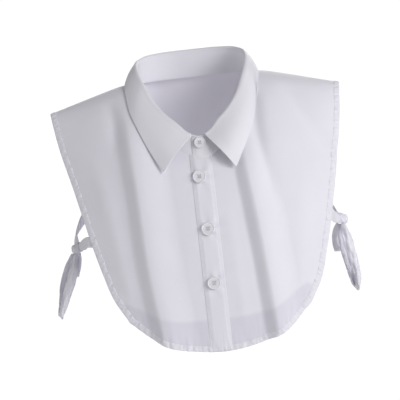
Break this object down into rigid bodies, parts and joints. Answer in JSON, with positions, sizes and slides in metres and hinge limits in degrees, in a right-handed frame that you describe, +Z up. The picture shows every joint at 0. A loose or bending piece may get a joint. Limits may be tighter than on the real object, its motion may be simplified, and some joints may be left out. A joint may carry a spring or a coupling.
{
  "type": "false collar",
  "caption": "Hollow false collar: a shirt collar with short buttoned fronts and a short back, joined at the sides by tied tapes.",
  "frame": {"origin": "middle of the neck opening, level with the points where neck meets shoulder", "axes": "+Z up, the front faces -Y, +X is the wearer's left"},
  "size_m": [0.3426, 0.2044, 0.3199],
  "materials": {
    "poplin": "fine white poplin, matte with a slight sheen",
    "collar_poplin": "fused white poplin, smooth",
    "tape": "folded self-cloth tape",
    "button_resin": "milky translucent resin"
  },
  "bodies": {
    "root": {"front_left": "poplin", "front_right": "poplin", "placket": "poplin", "back": "poplin", "collar_stand": "collar_poplin", "collar_leaf": "collar_poplin", "button_collar": "button_resin", "button_1": "button_resin", "button_2": "button_resin", "button_3": "button_resin", "tie_front_left": "tape", "tie_back_left": "tape", "tie_knot_left": "tape", "tie_loop_left": "tape", "tie_tail_left": "tape", "tie_front_right": "tape", "tie_back_right": "tape", "tie_knot_right": "tape", "tie_loop_right": "tape", "tie_tail_right": "tape"}
  },
  "joints": []
}
